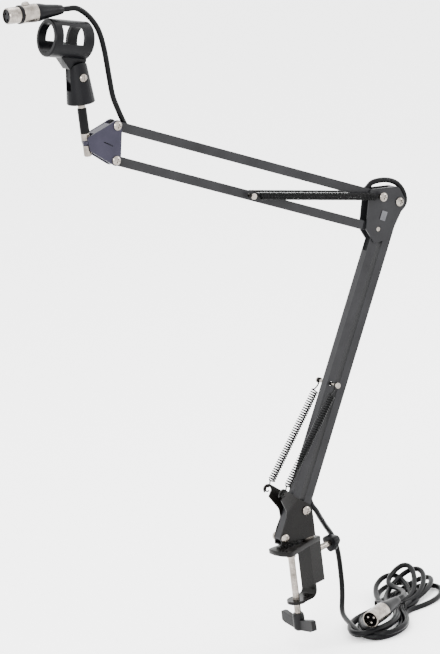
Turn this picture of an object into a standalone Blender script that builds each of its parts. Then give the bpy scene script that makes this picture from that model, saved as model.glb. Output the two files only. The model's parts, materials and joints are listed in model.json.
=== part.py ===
"""Spring-balanced scissor boom arm for a microphone, with its desk clamp, clip and cable.

Units are metres, +Z is up. The origin is where the clamp screw's axis meets the clamp's
upper jaw face. The two arms lie in a plane of constant Y through the swivel stud, and the
clamp is turned by JAW_TURN about that stud.
"""

import math

import bmesh
import bpy
from mathutils import Matrix, Vector

# ---------------------------------------------------------------- driving dimensions
MM = 0.001
GAP = 0.3 * MM                # air between pieces that only touch

# linkage, in the arms' plane (X along the plane, Z up)
ARM_LENGTH = 350 * MM         # pivot to pivot, the same for all four bars
LOWER_LEAN = math.radians(28.5)   # lower arm, from the vertical towards +X
UPPER_RISE = math.radians(25.3)   # upper arm, from the horizontal, rising towards -X
BASE_LINK = Vector((31.2 * MM, 0, 23.4 * MM))    # front pivot to rear pivot, base and elbow
HEAD_LINK = Vector((6.8 * MM, 0, 35.3 * MM))     # bottom pivot to top pivot, elbow and head

# bars: open channels
BAR_SIZE = 10 * MM
BAR_WALL = 1.1 * MM
TONGUE_LENGTH = 20 * MM       # narrow end that nests in the other channel
BOLT_R = 2.5 * MM
BOLT_HEAD_R = 4.9 * MM
BOLT_HEAD_H = 3.0 * MM
HOLE_R = BOLT_R + GAP

# brackets of folded sheet
SHEET = 1.5 * MM
CHEEK_IN = BAR_SIZE / 2 + 0.5 * MM
CHEEK_OUT = CHEEK_IN + SHEET
HOOK_FLARE = math.tan(math.radians(16))
HOOK_CENTRE = Vector((-0.5 * MM, 0, 52.3 * MM))  # from the front pivot
HOOK_R_IN = 3.0 * MM
HOOK_R_OUT = 6.0 * MM

# springs
LOWER_SPRING_R = 4.0 * MM
LOWER_SPRING_Y = CHEEK_OUT + 8.5 * MM
UPPER_SPRING_R = 3.6 * MM
UPPER_SPRING_Y = CHEEK_OUT + 4 * MM
SPRING_WIRE_R = 0.6 * MM
PIN_R = 2.0 * MM

# clamp
JAW_TURN = math.radians(14)
JAW_DEPTH = 21 * MM           # screw axis to the web
SCREW_TO_STUD = 30 * MM
BLOCK_DEPTH = 2 * (SCREW_TO_STUD - JAW_DEPTH)
CLAMP_WIDTH = 20 * MM
JAW_OPENING = 56 * MM
PLATE_T = 5.5 * MM            # upper jaw plate
FRONT_PIVOT = Vector((-34 * MM, 0, PLATE_T + 9.5 * MM))   # from the stud's axis at jaw height
STRIP_T = 3.5 * MM            # lower strip and lower jaw
BLOCK_BOTTOM = -45 * MM
PADDLE_HALF = 16 * MM
PADDLE_FRONT = 20 * MM
NOSE_R = 10.5 * MM
CLAMP_SCREW_R = 3.6 * MM
PAD_TOP = -2.6 * MM
PAD_R = 4.8 * MM
PAD_H = 5 * MM
KNOB_TOP = -72 * MM
KNOB_HUB_R = 6.5 * MM
KNOB_HUB_H = 19.5 * MM
WING_SPAN = 58 * MM
LOCK_Z = -12.5 * MM
LOCK_R = 3.5 * MM
LOCK_REACH = 32.5 * MM          # stud axis to the knob's near face
LOCK_KNOB_R = 10 * MM

# stud under the base bracket
STUD_R = 4.0 * MM
STUD_DEPTH = 32 * MM
GROOVE = 0.8 * MM             # ring groove that the lock screw's tip runs in
WASHER_R = 7.5 * MM
WASHER_T = 0.5 * MM

# head: stem, handle and clip
STEM_SET = 35.377 * MM        # head's top pivot to the stem's axis
BUSH_DROP = 13.161 * MM       # head's top pivot to the bush's lower face
BUSH_H = 5.2 * MM
BUSH_R = 3.4 * MM
STEM_STUD_R = 1.9 * MM
COLLAR_R = 4.9 * MM
COLLAR_H = 7 * MM
TUBE_R = 4.9 * MM
TUBE_H = 26.5 * MM
THREAD_R = 3.9 * MM
HANDLE_RISE = 44.4 * MM       # bush to handle
HANDLE_H = 43 * MM
HANDLE_R_LOW = 14.8 * MM
HANDLE_R_HIGH = 10.5 * MM
CLIP_PIVOT_RISE = 27.3 * MM   # handle's foot to the clip's pivot
LUG_T = 8 * MM
LUG_R = 11.0 * MM
CLIP_PIVOT_CLEAR = HANDLE_H - CLIP_PIVOT_RISE + 2 * GAP   # pivot to the underside of the saddle
CLIP_CENTRE = Vector((-8.1 * MM, 0, 41.3 * MM))   # from the clip's pivot
CLIP_TILT = math.radians(16)  # the open front end is up
CLIP_R = 19.75 * MM
CLIP_WALL = 4.5 * MM
CLIP_LENGTH = 47 * MM

# cable and its connectors
CABLE_R = 2.9 * MM
FLOOR = -110 * MM             # level on which the cable's hank lies
HANK_CENTRE = Vector((92.9 * MM, -7.3 * MM, 0))
HANK_TURN = math.radians(30)
HANK_LOBE = 57 * MM           # lobe centre to the middle
HANK_LOBE_R = 31 * MM
HANK_WAIST = 18 * MM
HANK_H = 13 * MM
SHELL_R = 9.5 * MM
SHELL_WALL = 1.2 * MM
SOCKET_REACH = Vector((-73.2 * MM, 0, 78.6 * MM))   # clip's pivot to the socket's tip
FEMALE_TILT = math.radians(5.6)
MALE_TIP = Vector((31.9 * MM, -55.3 * MM, FLOOR + HANK_H + SHELL_R + GAP))
MALE_TURN = math.radians(25)

# joint centres that follow from the sizes above
LOWER_DIR = Vector((math.sin(LOWER_LEAN), 0, math.cos(LOWER_LEAN)))
UPPER_DIR = Vector((-math.cos(UPPER_RISE), 0, math.sin(UPPER_RISE)))
REAR_PIVOT = FRONT_PIVOT + BASE_LINK
ELBOW_SHARED = FRONT_PIVOT + LOWER_DIR * ARM_LENGTH
ELBOW_REAR = REAR_PIVOT + LOWER_DIR * ARM_LENGTH
ELBOW_TOP = ELBOW_SHARED + HEAD_LINK
HEAD_LOW = ELBOW_SHARED + UPPER_DIR * ARM_LENGTH
HEAD_TOP = ELBOW_TOP + UPPER_DIR * ARM_LENGTH
STEM_X = HEAD_TOP.x - STEM_SET
BUSH_Z = HEAD_TOP.z - BUSH_DROP
HANDLE_Z = BUSH_Z + HANDLE_RISE
CLIP_PIVOT_Z = HANDLE_Z + CLIP_PIVOT_RISE
FEMALE_TIP = Vector((STEM_X, 0, CLIP_PIVOT_Z)) + SOCKET_REACH

COLOURS = {
    "black_steel": ((0.090, 0.088, 0.086, 1), 0.6, 0.38),
    "grey_steel": ((0.085, 0.085, 0.092, 1), 0.5, 0.42),
    "blue_steel": ((0.085, 0.081, 0.105, 1), 0.5, 0.42),
    "nickel": ((0.66, 0.63, 0.61, 1), 1.0, 0.25),
    "spring_steel": ((0.30, 0.30, 0.31, 1), 1.0, 0.35),
    "black_plastic": ((0.022, 0.022, 0.024, 1), 0.0, 0.45),
    "knob_plastic": ((0.12, 0.118, 0.115, 1), 0.0, 0.5),
    "cable_rubber": ((0.03, 0.03, 0.032, 1), 0.0, 0.5),
    "insert_plastic": ((0.04, 0.037, 0.035, 1), 0.0, 0.4),
}


# ---------------------------------------------------------------- shared modelling steps
def clear_scene():
    for obj in list(bpy.data.objects):
        bpy.data.objects.remove(obj)
    for name in ("microphone_boom_arm", "cutters"):
        collection = bpy.data.collections.new(name)
        bpy.context.scene.collection.children.link(collection)
    return bpy.data.collections["microphone_boom_arm"], bpy.data.collections["cutters"]


def material(kind):
    found = bpy.data.materials.get(kind)
    if found:
        return found
    colour, metallic, roughness = COLOURS[kind]
    found = bpy.data.materials.new(kind)
    found.use_nodes = True
    shader = found.node_tree.nodes["Principled BSDF"]
    shader.inputs["Base Color"].default_value = colour
    shader.inputs["Metallic"].default_value = metallic
    shader.inputs["Roughness"].default_value = roughness
    return found


def axes(name, location, rotation=(0, 0, 0), parent=None):
    """An empty that carries the pieces of one moving body."""
    empty = bpy.data.objects.new(name, None)
    empty.empty_display_size = 0.01
    empty.location = location
    empty.rotation_euler = rotation
    empty.parent = parent
    parts.objects.link(empty)
    return empty


def add(name, data, kind, parent, location=(0, 0, 0), rotation=(0, 0, 0)):
    obj = bpy.data.objects.new(name, data)
    parts.objects.link(obj)
    obj.parent = parent
    obj.location = location
    obj.rotation_euler = rotation
    data.materials.clear()
    data.materials.append(material(kind))
    return obj


def smooth(obj, angle=35):
    obj.data.shade_smooth()
    obj.data.set_sharp_from_angle(angle=math.radians(angle))


def bmesh_object(name, bm, kind, parent, **place):
    mesh = bpy.data.meshes.new(name)
    bmesh.ops.recalc_face_normals(bm, faces=bm.faces)
    bm.to_mesh(mesh)
    bm.free()
    return add(name, mesh, kind, parent, **place)


def box(name, low, high, kind, parent, **place):
    """A box between two corners."""
    bm = bmesh.new()
    bmesh.ops.create_cube(bm, size=1)
    low, high = Vector(low), Vector(high)
    size = high - low
    bmesh.ops.scale(bm, vec=size, verts=bm.verts)
    bmesh.ops.translate(bm, vec=(low + high) / 2, verts=bm.verts)
    return bmesh_object(name, bm, kind, parent, **place)


def rod(name, start, end, radius, kind, parent, sides=24, **place):
    """A cylinder from one point to another."""
    start, end = Vector(start), Vector(end)
    along = end - start
    turn = along.to_track_quat("Z", "Y").to_matrix().to_4x4()
    bm = bmesh.new()
    bmesh.ops.create_cone(bm, cap_ends=True, segments=sides, radius1=radius, radius2=radius,
                          depth=along.length)
    bmesh.ops.transform(bm, matrix=Matrix.Translation((start + end) / 2) @ turn, verts=bm.verts)
    obj = bmesh_object(name, bm, kind, parent, **place)
    smooth(obj)
    return obj


def turned(name, profile, kind, parent, sides=28, **place):
    """A solid of revolution about local Z, from (radius, height) points, top to bottom."""
    mesh = bpy.data.meshes.new(name)
    ring = profile[0] == profile[-1]
    points = [(radius, 0, height) for radius, height in (profile[:-1] if ring else profile)]
    edges = [(i, i + 1) for i in range(len(points) - 1)]
    if ring:
        edges.append((len(points) - 1, 0))
    mesh.from_pydata(points, edges, [])
    obj = add(name, mesh, kind, parent, **place)
    screw = obj.modifiers.new("turn", "SCREW")
    screw.steps = screw.render_steps = sides
    screw.use_merge_vertices = True
    screw.merge_threshold = 0.00001
    screw.use_smooth_shade = True
    return obj


def arc(centre, radius, start, stop, count):
    """Points on a circle between two angles in degrees."""
    angles = [math.radians(start + (stop - start) * i / (count - 1)) for i in range(count)]
    return [(centre[0] + radius * math.cos(a), centre[1] + radius * math.sin(a)) for a in angles]


def hull_of_circles(circles, step=15):
    """The outline that a band takes when it is pulled round several discs."""
    cloud = []
    for x, y, radius in circles:
        cloud += arc((x, y), radius, 0, 360 - step, 360 // step)
    cloud.sort()

    def chain(points):
        kept = []
        for point in points:
            while len(kept) > 1:
                (ax, ay), (bx, by) = kept[-2], kept[-1]
                if (bx - ax) * (point[1] - ay) - (by - ay) * (point[0] - ax) > 1e-12:
                    break
                kept.pop()
            kept.append(point)
        return kept[:-1]

    return chain(cloud) + chain(cloud[::-1])


def to_mesh(obj):
    """Replaces a curve object by a welded mesh object of the same name and place."""
    bpy.context.view_layer.update()
    depsgraph = bpy.context.evaluated_depsgraph_get()
    mesh = bpy.data.meshes.new_from_object(obj.evaluated_get(depsgraph))
    bm = bmesh.new()
    bm.from_mesh(mesh)
    bmesh.ops.remove_doubles(bm, verts=bm.verts, dist=0.000005)
    bm.to_mesh(mesh)
    bm.free()
    name, parent, kind = obj.name, obj.parent, obj.data.materials[0].name
    place = obj.matrix_world.copy()
    curve = obj.data
    bpy.data.objects.remove(obj)
    bpy.data.curves.remove(curve)
    made = add(name, mesh, kind, parent)
    bpy.context.view_layer.update()
    made.matrix_world = place
    return made


def slab(name, outline, thickness, kind, parent, centre=0.0, upright=True):
    """A flat outline of even thickness, upright in the arms' plane or lying flat."""
    curve = bpy.data.curves.new(name, "CURVE")
    curve.dimensions = "2D"
    curve.fill_mode = "BOTH"
    curve.extrude = thickness / 2
    spline = curve.splines.new("POLY")
    spline.points.add(len(outline) - 1)
    for point, (x, y) in zip(spline.points, outline):
        point.co = (x, y, 0, 1)
    spline.use_cyclic_u = True
    if upright:
        obj = add(name, curve, kind, parent, (0, centre, 0), (math.pi / 2, 0, 0))
    else:
        obj = add(name, curve, kind, parent, (0, 0, centre))
    return to_mesh(obj)


def combine(target, tool, operation="DIFFERENCE"):
    """Cuts or joins with another mesh, which becomes a hidden cutter."""
    modifier = target.modifiers.new(operation.lower(), "BOOLEAN")
    modifier.operation = operation
    modifier.solver = "EXACT"
    modifier.object = tool
    tool.hide_render = True
    tool.display_type = "WIRE"
    parts.objects.unlink(tool)
    cutters.objects.link(tool)
    return target


def join(target, *tools):
    for tool in tools:
        combine(target, tool, "UNION")
    return target


def cut(target, *tools):
    for tool in tools:
        combine(target, tool)
    return target


def smooth_route(points, spacing):
    """Evenly spaced points on a Catmull-Rom curve, with its first and last runs kept straight."""
    knots = [Vector(p) for p in points]
    dense = []
    for i in range(1, len(knots) - 2):
        a, b, c, d = knots[i - 1:i + 3]
        for k in range(20):
            t = k / 20
            dense.append(0.5 * (2 * b + (c - a) * t + (2 * a - 5 * b + 4 * c - d) * t * t
                                + (3 * b - a - 3 * c + d) * t ** 3))
    dense.append(knots[-2])
    total = sum((q - p).length for p, q in zip(dense, dense[1:]))
    count = max(2, round(total / spacing))
    route, walked, target = [knots[0], dense[0]], 0.0, total / count
    for p, q in zip(dense, dense[1:]):
        step = (q - p).length
        while walked + step >= target - 1e-9 and len(route) < count + 1:
            route.append(p.lerp(q, (target - walked) / step))
            target += total / count
        walked += step
    return route + knots[-2:]


def tube(name, route, radius, kind, parent, resolution=2):
    curve = bpy.data.curves.new(name, "CURVE")
    curve.dimensions = "3D"
    curve.bevel_depth = radius
    curve.bevel_resolution = resolution
    curve.use_fill_caps = True
    spline = curve.splines.new("POLY")
    spline.points.add(len(route) - 1)
    for point, co in zip(spline.points, route):
        point.co = (*co, 1)
    return add(name, curve, kind, parent)


def cable(name, points, parent):
    return tube(name, smooth_route(points, 2.6 * 2 * CABLE_R), CABLE_R, "cable_rubber", parent)


# ---------------------------------------------------------------- clamp
def clamp_frame(clamp):
    """C-shaped frame: a paddle above, a socket block behind and a lower jaw on a strip."""
    back = JAW_DEPTH + BLOCK_DEPTH
    half = CLAMP_WIDTH / 2
    paddle = [(-PADDLE_FRONT + 3 * MM, -PADDLE_HALF), (-PADDLE_FRONT, -PADDLE_HALF / 3),
              (-PADDLE_FRONT, PADDLE_HALF / 3), (-PADDLE_FRONT + 3 * MM, PADDLE_HALF),
              (-PADDLE_FRONT + 8 * MM, PADDLE_HALF), (JAW_DEPTH - 6 * MM, half + 1.5 * MM),
              (JAW_DEPTH + 4 * MM, half), (back, half), (back, -half), (JAW_DEPTH + 4 * MM, -half),
              (JAW_DEPTH - 6 * MM, -half - 1.5 * MM), (-PADDLE_FRONT + 8 * MM, -PADDLE_HALF)]
    frame = slab("clamp_frame", paddle[::-1], PLATE_T, "black_steel", clamp,
                 centre=PLATE_T / 2, upright=False)
    edge = frame.modifiers.new("rounded rim", "BEVEL")
    edge.width = 1.6 * MM
    edge.segments = 2
    edge.limit_method = "ANGLE"
    edge.angle_limit = math.radians(50)
    low = -JAW_OPENING - STRIP_T
    bend = 5 * MM
    strip = [(-2 * MM, low), (-2 * MM, -JAW_OPENING)]
    strip += arc((JAW_DEPTH - bend, -JAW_OPENING + bend), bend, -90, 0, 5)
    strip += [(JAW_DEPTH, BLOCK_BOTTOM + 2 * MM), (JAW_DEPTH + STRIP_T, BLOCK_BOTTOM + 2 * MM)]
    strip += arc((JAW_DEPTH - bend, -JAW_OPENING + bend), bend + STRIP_T, 0, -90, 7)
    lower = slab("clamp_strip", strip, CLAMP_WIDTH - 1 * MM, "black_steel", clamp)
    inset = 0.4 * MM
    block = box("clamp_block", (JAW_DEPTH, -half + inset, BLOCK_BOTTOM),
                (back - inset, half - inset, PLATE_T - 2 * MM),
                "black_steel", clamp)
    nose = rod("clamp_nose", (0, 0, low), (0, 0, -JAW_OPENING), NOSE_R, "black_steel", clamp)
    join(frame, lower, block, nose)
    stud = SCREW_TO_STUD
    socket = rod("socket_bore", (stud, 0, PLATE_T - STUD_DEPTH), (stud, 0, 1 * MM + PLATE_T),
                 STUD_R + GAP, "black_steel", clamp)
    lock = rod("lock_bore", (stud, 0, LOCK_Z), (back + 1 * MM, 0, LOCK_Z), LOCK_R + GAP,
               "black_steel", clamp, sides=16)
    thread = rod("screw_bore", (0, 0, low - 1 * MM), (0, 0, -JAW_OPENING + 1 * MM),
                 CLAMP_SCREW_R + GAP, "black_steel", clamp)
    return cut(frame, socket, lock, thread)


def clamp_screw(clamp):
    """Swivel pad, screw and wing knob, all on the clamp's vertical axis."""
    pad = [(0.0, PAD_TOP), (PAD_R - 0.8 * MM, PAD_TOP), (PAD_R, PAD_TOP - 0.8 * MM),
           (PAD_R, PAD_TOP - PAD_H), (0.0, PAD_TOP - PAD_H)]
    turned("clamp_pad", pad, "nickel", clamp, sides=20)
    top = PAD_TOP - PAD_H - GAP
    rod("clamp_screw", (0, 0, KNOB_TOP - 6 * MM), (0, 0, top), CLAMP_SCREW_R, "nickel", clamp)
    bottom = KNOB_TOP - KNOB_HUB_H
    knob = turned("clamp_wing_knob", [(0.0, KNOB_TOP), (KNOB_HUB_R - 1 * MM, KNOB_TOP),
                                      (KNOB_HUB_R, KNOB_TOP - 3 * MM), (KNOB_HUB_R, bottom + 2 * MM),
                                      (KNOB_HUB_R - 2 * MM, bottom), (0.0, bottom)],
                  "knob_plastic", clamp, sides=20)
    knob.rotation_euler = (0, 0, -JAW_TURN)
    half = WING_SPAN / 2
    wing = [(-half, KNOB_TOP - 3.5 * MM), (-half + 4 * MM, KNOB_TOP - 3 * MM),
            (-KNOB_HUB_R, KNOB_TOP - 7 * MM), (KNOB_HUB_R, KNOB_TOP - 7 * MM),
            (half - 4 * MM, KNOB_TOP - 3 * MM), (half, KNOB_TOP - 3.5 * MM),
            (half + 0.5 * MM, KNOB_TOP - 14 * MM), (half - 4 * MM, KNOB_TOP - 16 * MM),
            (KNOB_HUB_R, bottom + 1 * MM), (-KNOB_HUB_R, bottom + 1 * MM),
            (-half + 4 * MM, KNOB_TOP - 16 * MM), (-half - 0.5 * MM, KNOB_TOP - 14 * MM)]
    wings = slab("wing_blade", wing[::-1], 6 * MM, "knob_plastic", clamp)
    wings.rotation_euler = (math.pi / 2, 0, math.pi / 2 - JAW_TURN)
    bore = rod("knob_bore", (0, 0, KNOB_TOP - 6 * MM - GAP), (0, 0, KNOB_TOP + 1 * MM),
               CLAMP_SCREW_R + GAP, "knob_plastic", clamp)
    join(knob, wings)
    cut(knob, bore)


def lock_screw(clamp):
    """Side screw that grips the stud: a soft tip, the screw and its lobed knob."""
    stud = SCREW_TO_STUD
    tip = stud + STUD_R - GROOVE + GAP
    tip_end = tip + GROOVE + 2.5 * MM
    rod("lock_tip", (tip, 0, LOCK_Z), (tip_end, 0, LOCK_Z), LOCK_R - 0.4 * MM, "black_plastic", clamp,
        sides=12)
    near = stud + LOCK_REACH
    rod("lock_screw", (tip_end + GAP, 0, LOCK_Z), (near + 4 * MM, 0, LOCK_Z), LOCK_R,
        "nickel", clamp, sides=16)
    outline = []
    for i in range(30):
        a = math.radians(12 * i)
        reach = LOCK_KNOB_R * (0.86 + 0.14 * math.cos(3 * a))
        outline.append((reach * math.cos(a), reach * math.sin(a)))
    knob = slab("lock_knob", outline, 9 * MM, "black_plastic", clamp, upright=False)
    knob.location = (near + 4.5 * MM, 0, LOCK_Z)
    knob.rotation_euler = (0, math.pi / 2, 0)
    edge = knob.modifiers.new("soft edges", "BEVEL")
    edge.width = 1.2 * MM
    edge.segments = 2
    edge.limit_method = "ANGLE"
    edge.angle_limit = math.radians(50)
    bore = rod("lock_knob_bore", (near - 1 * MM, 0, LOCK_Z), (near + 4 * MM + GAP, 0, LOCK_Z),
               LOCK_R + GAP, "black_plastic", clamp, sides=16)
    cut(knob, bore)


# ---------------------------------------------------------------- linkage
def bolt(name, parent, at, near, far, nut=True):
    """A pivot bolt along Y with a domed head at the near side and a nut at the far side."""
    x, z = at
    profile = [(0.0, near + BOLT_HEAD_H), (BOLT_HEAD_R * 0.6, near + BOLT_HEAD_H * 0.9),
               (BOLT_HEAD_R, near + BOLT_HEAD_H * 0.35), (BOLT_HEAD_R, near),
               (BOLT_R, near), (BOLT_R, -far)]
    if nut:
        profile += [(BOLT_HEAD_R, -far), (BOLT_HEAD_R, -far - BOLT_HEAD_H)]
    else:
        profile += [(BOLT_R, -far - BOLT_HEAD_H)]
    profile += [(0.0, profile[-1][1])]
    return turned(name, profile, "nickel", parent, sides=20, location=(x, 0, z),
                  rotation=(math.pi / 2, 0, 0))


def bar(name, parent, side=1, narrow_end=False, open_end=False):
    """A channel along local X with its open side towards local +Z, or -Z when side is -1."""
    half = BAR_SIZE / 2
    rounded = arc((0, 0), half, 270, 90, 9) + arc((ARM_LENGTH, 0), half, 90, -90, 9)
    body = slab(name, rounded[::-1], BAR_SIZE, "grey_steel", parent)
    inside = half - BAR_WALL
    floor, mouth = sorted((-inside * side, BAR_SIZE * side))
    hollow = box(name + "_hollow", (-BAR_SIZE, -inside, floor),
                 (ARM_LENGTH + BAR_SIZE, inside, mouth), "grey_steel", parent)
    cut(body, hollow)
    if narrow_end:
        trim = box(name + "_trim", (ARM_LENGTH - TONGUE_LENGTH, -BAR_SIZE, -BAR_SIZE),
                   (ARM_LENGTH + BAR_SIZE, BAR_SIZE, BAR_SIZE), "grey_steel", parent)
        tongue_outline = arc((ARM_LENGTH, 0), half - 0.5 * MM, 90, -90, 9)
        tongue_outline += [(ARM_LENGTH - TONGUE_LENGTH - 8 * MM, -half + 0.5 * MM),
                           (ARM_LENGTH - TONGUE_LENGTH - 8 * MM, half - 0.5 * MM)]
        tongue = slab(name + "_tongue", tongue_outline[::-1], 2 * (inside - GAP - 0.2 * MM),
                      "grey_steel", parent)
        bridge = box(name + "_bridge", (ARM_LENGTH - TONGUE_LENGTH - 7 * MM, -inside - 0.5 * MM, -3 * MM),
                     (ARM_LENGTH - TONGUE_LENGTH - 2 * MM, inside + 0.5 * MM, 3 * MM), "grey_steel", parent)
        cut(body, trim)
        join(body, tongue, bridge)
    if open_end:
        floor, mouth = sorted((-BAR_SIZE * side, 0))
        slot = box(name + "_slot", (ARM_LENGTH - TONGUE_LENGTH - 6 * MM, -inside, floor),
                   (ARM_LENGTH + BAR_SIZE, inside, mouth), "grey_steel", parent)
        cut(body, slot)
    for x in (0.0, ARM_LENGTH):
        hole = rod(f"{name}_hole_{round(x / MM)}", (x, -BAR_SIZE, 0), (x, BAR_SIZE, 0), HOLE_R,
                   "grey_steel", parent, sides=20)
        cut(body, hole)
    return body


def spring_pin(name, parent, reach, sides=16):
    """The cross pin at the middle of a bar that its two springs pull on."""
    x = ARM_LENGTH / 2
    profile = [(0.0, reach + 1.5 * MM), (PIN_R + 1.2 * MM, reach + 1.5 * MM),
               (PIN_R + 1.2 * MM, reach), (PIN_R, reach), (PIN_R, -reach),
               (PIN_R + 1.2 * MM, -reach), (PIN_R + 1.2 * MM, -reach - 1.5 * MM),
               (0.0, -reach - 1.5 * MM)]
    return turned(name, profile, "nickel", parent, sides=sides, location=(x, 0, 0),
                  rotation=(math.pi / 2, 0, 0))


def spring(name, parent, start, end, radius):
    """A tension spring's envelope, a sleeve as wide as its coil with a wire at each end."""
    start, end = Vector(start), Vector(end)
    along = (end - start).normalized()
    lead = 9 * MM
    length = (end - start).length
    profile = [(0.0, length - 3 * MM), (SPRING_WIRE_R, length - 3 * MM), (SPRING_WIRE_R, length - lead),
               (radius, length - lead - 1 * MM), (radius, lead + 1 * MM),
               (SPRING_WIRE_R, lead), (SPRING_WIRE_R, 3 * MM), (0.0, 3 * MM)]
    obj = turned(name, profile, "spring_steel", parent, sides=12, location=start)
    obj.rotation_euler = along.to_track_quat("Z", "Y").to_euler()
    return obj


def flared(cheek, outward):
    """Bends the hook corner of a base cheek outwards along a slanting line."""
    corner, other = Vector((5 * MM, 24 * MM, 0)), Vector((24 * MM, 41 * MM, 0))
    line = (other - corner).normalized()
    away = Vector((-line.y, line.x, 0))
    bm = bmesh.new()
    bm.from_mesh(cheek.data)
    bmesh.ops.bisect_plane(bm, geom=bm.verts[:] + bm.edges[:] + bm.faces[:], dist=1e-6,
                           plane_co=corner, plane_no=away)
    for vert in bm.verts:
        past = (vert.co - corner).dot(away)
        if past > 0:
            vert.co.z -= outward * past * HOOK_FLARE
    bm.to_mesh(cheek.data)
    bm.free()
    return cheek


def base_bracket(base):
    """Two cheeks with spring hooks, joined by a floor that stands on the stud."""
    x, z = BASE_LINK.x, BASE_LINK.z
    hook = (HOOK_CENTRE.x, HOOK_CENTRE.z)
    floor_top = -BAR_SIZE / 2 - 0.6 * MM
    floor_low = floor_top - 1.8 * MM
    right = x + 8.5 * MM
    outline = [(-5 * MM, floor_low), (-5 * MM, 0), (-1 * MM, 10 * MM), (5.5 * MM, 20 * MM),
               (5.5 * MM, 30 * MM), (-2.5 * MM, 45 * MM), (-0.5 * MM, 47.5 * MM)]
    outline += arc(hook, HOOK_R_IN, -60, 195, 9)
    outline += arc(hook, HOOK_R_OUT, 200, 50, 8)
    outline += [(x - 8 * MM, z + 16 * MM)]
    outline += arc((x, z), 8.0 * MM, 55, 0, 5)
    outline += [(right, z - 8 * MM), (right, floor_low)]
    near = slab("base_bracket", outline[::-1], SHEET, "black_steel", base, centre=-CHEEK_IN - SHEET / 2)
    flared(near, -1)
    far = slab("base_cheek_far", outline[::-1], SHEET, "black_steel", base,
               centre=CHEEK_IN + SHEET / 2)
    flared(far, 1)
    floor = box("base_floor", (-4.5 * MM, -CHEEK_IN - SHEET / 2, floor_low),
                (right - 0.5 * MM, CHEEK_IN + SHEET / 2, floor_top), "black_steel", base)
    rear = box("base_rear_web", (right - 1.6 * MM, -CHEEK_IN - SHEET / 2, floor_top - 0.5 * MM),
               (right - 0.1 * MM, CHEEK_IN + SHEET / 2, z - 14 * MM), "black_steel", base)
    join(near, far, floor, rear)
    for label, px, pz in (("front", 0.0, 0.0), ("rear", x, z)):
        hole = rod(f"base_hole_{label}", (px, -0.03, pz), (px, 0.03, pz), HOLE_R, "black_steel",
                   base, sides=20)
        cut(near, hole)
    stud_x = -FRONT_PIVOT.x
    seat = rod("base_stud_hole", (stud_x, 0, floor_low - 0.01), (stud_x, 0, floor_top + 0.01),
               STUD_R - 1 * MM + GAP, "black_steel", base)
    return cut(near, seat)


def base_stud(swivel):
    """Turned stud: a riveted neck through the bracket, a flange and a long plain shank."""
    floor_top = FRONT_PIVOT.z - BAR_SIZE / 2 - 0.6 * MM
    floor_low = floor_top - 1.8 * MM
    shank_end = PLATE_T - STUD_DEPTH + GAP
    neck = STUD_R - 1 * MM
    flange_low = PLATE_T + WASHER_T + 2 * GAP
    profile = [(0.0, floor_top + 1.2 * MM), (neck + 0.8 * MM, floor_top + 1.2 * MM),
               (neck + 0.8 * MM, floor_top + GAP), (neck, floor_top + GAP),
               (neck, floor_low - GAP), (WASHER_R - 1 * MM, floor_low - GAP),
               (WASHER_R - 1 * MM, flange_low), (STUD_R, flange_low),
               (STUD_R, LOCK_Z + LOCK_R + 1.6 * MM), (STUD_R - GROOVE, LOCK_Z + LOCK_R + 0.8 * MM),
               (STUD_R - GROOVE, LOCK_Z - LOCK_R - 0.8 * MM), (STUD_R, LOCK_Z - LOCK_R - 1.6 * MM),
               (STUD_R, shank_end), (0.0, shank_end)]
    return turned("base_stud", profile, "nickel", swivel, sides=24)


def swivel_washer(swivel):
    """Flat washer between the socket block and the stud's flange."""
    low = PLATE_T + GAP
    high = low + WASHER_T
    inner = STUD_R + GAP
    profile = [(inner, high), (WASHER_R, high), (WASHER_R, low), (inner, low), (inner, high)]
    return turned("swivel_washer", profile, "nickel", swivel, sides=24)


def elbow_bracket(elbow):
    """Two cheeks round the three elbow pivots, joined by a web at the top corner."""
    rear = Vector((0, 0, 0))
    shared = -BASE_LINK
    top = shared + HEAD_LINK
    circles = [(top.x - 9 * MM, top.z + 6 * MM, 4 * MM), (rear.x - 4 * MM, rear.z + 10 * MM, 8 * MM),
               (rear.x, rear.z, 8 * MM), (shared.x + 9 * MM, shared.z - 8 * MM, 6 * MM),
               (shared.x - 5 * MM, shared.z - 10 * MM, 4 * MM),
               (shared.x - 12 * MM, shared.z + 4 * MM, 4 * MM)]
    outline = hull_of_circles(circles)
    near = slab("elbow_bracket", outline[::-1], SHEET, "grey_steel", elbow,
                centre=-CHEEK_IN - SHEET / 2)
    far = slab("elbow_cheek_far", outline[::-1], SHEET, "grey_steel", elbow,
               centre=CHEEK_IN + SHEET / 2)
    web = slab("elbow_web", arc((-4 * MM, 10 * MM), 7.9 * MM, 105, 0, 6)
               + arc((-4 * MM, 10 * MM), 6.4 * MM, 0, 105, 6),
               2 * CHEEK_IN + SHEET, "grey_steel", elbow)
    join(near, far, web)
    for label, at in (("rear", rear), ("shared", shared), ("top", top)):
        hole = rod(f"elbow_hole_{label}", (at.x, -0.03, at.z), (at.x, 0.03, at.z), HOLE_R,
                   "grey_steel", elbow, sides=20)
        cut(near, hole)
    tab = box("elbow_tab", (-3.6 * MM, -CHEEK_OUT - 0.8 * MM, -5.2 * MM),
              (3.6 * MM, -CHEEK_IN - GAP, 5.2 * MM), "grey_steel", elbow)
    tab.location = shared + LOWER_DIR * 15 * MM + Vector((1 * MM, 0, 0))
    tab.rotation_euler = (0, LOWER_LEAN, 0)
    return join(near, tab)


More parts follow.
